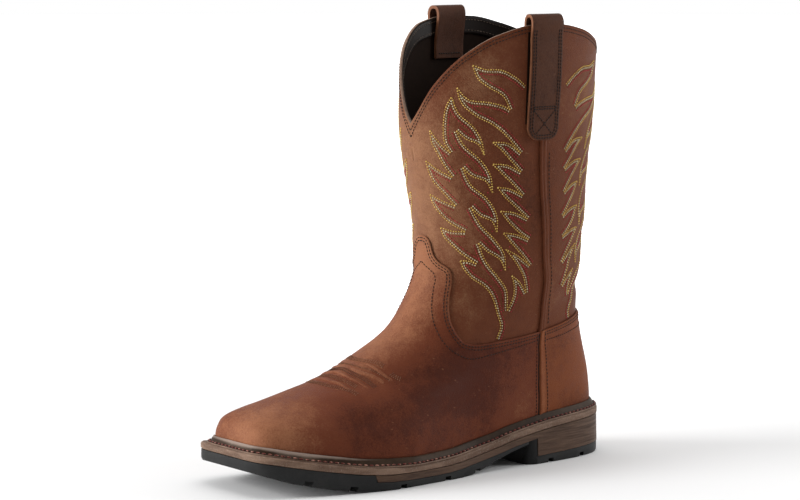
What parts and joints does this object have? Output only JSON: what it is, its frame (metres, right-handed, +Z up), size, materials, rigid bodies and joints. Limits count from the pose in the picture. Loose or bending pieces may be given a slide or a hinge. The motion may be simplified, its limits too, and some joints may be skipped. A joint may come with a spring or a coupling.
{
  "type": "western work boot",
  "caption": "Square-toe pull-on western work boot for the left foot, with a scalloped shaft, pull straps and a lugged welted sole.",
  "frame": {"origin": "bottom centre of the bounding box, on the floor that the sole stands on", "axes": "+Z up along the shaft, -Y towards the toe, +X towards the outer side of the left foot"},
  "size_m": [0.116, 0.3054, 0.3185],
  "materials": {
    "vamp_leather": "oiled",
    "shaft_leather": "oiled",
    "strap_leather": "oiled",
    "footbed": "matte",
    "welt": "satin",
    "midsole": "matte",
    "heel_stack": "matte",
    "tread": "matte"
  },
  "bodies": {
    "root": {"upper": "shaft_leather", "vamp": "vamp_leather", "counter": "vamp_leather", "side_seam_lateral": "shaft_leather", "side_seam_medial": "shaft_leather", "pull_strap_lateral": "strap_leather", "pull_strap_medial": "strap_leather", "insole": "footbed", "welt": "welt", "midsole": "midsole", "heel_stack": "heel_stack", "outsole": "tread"}
  },
  "joints": []
}
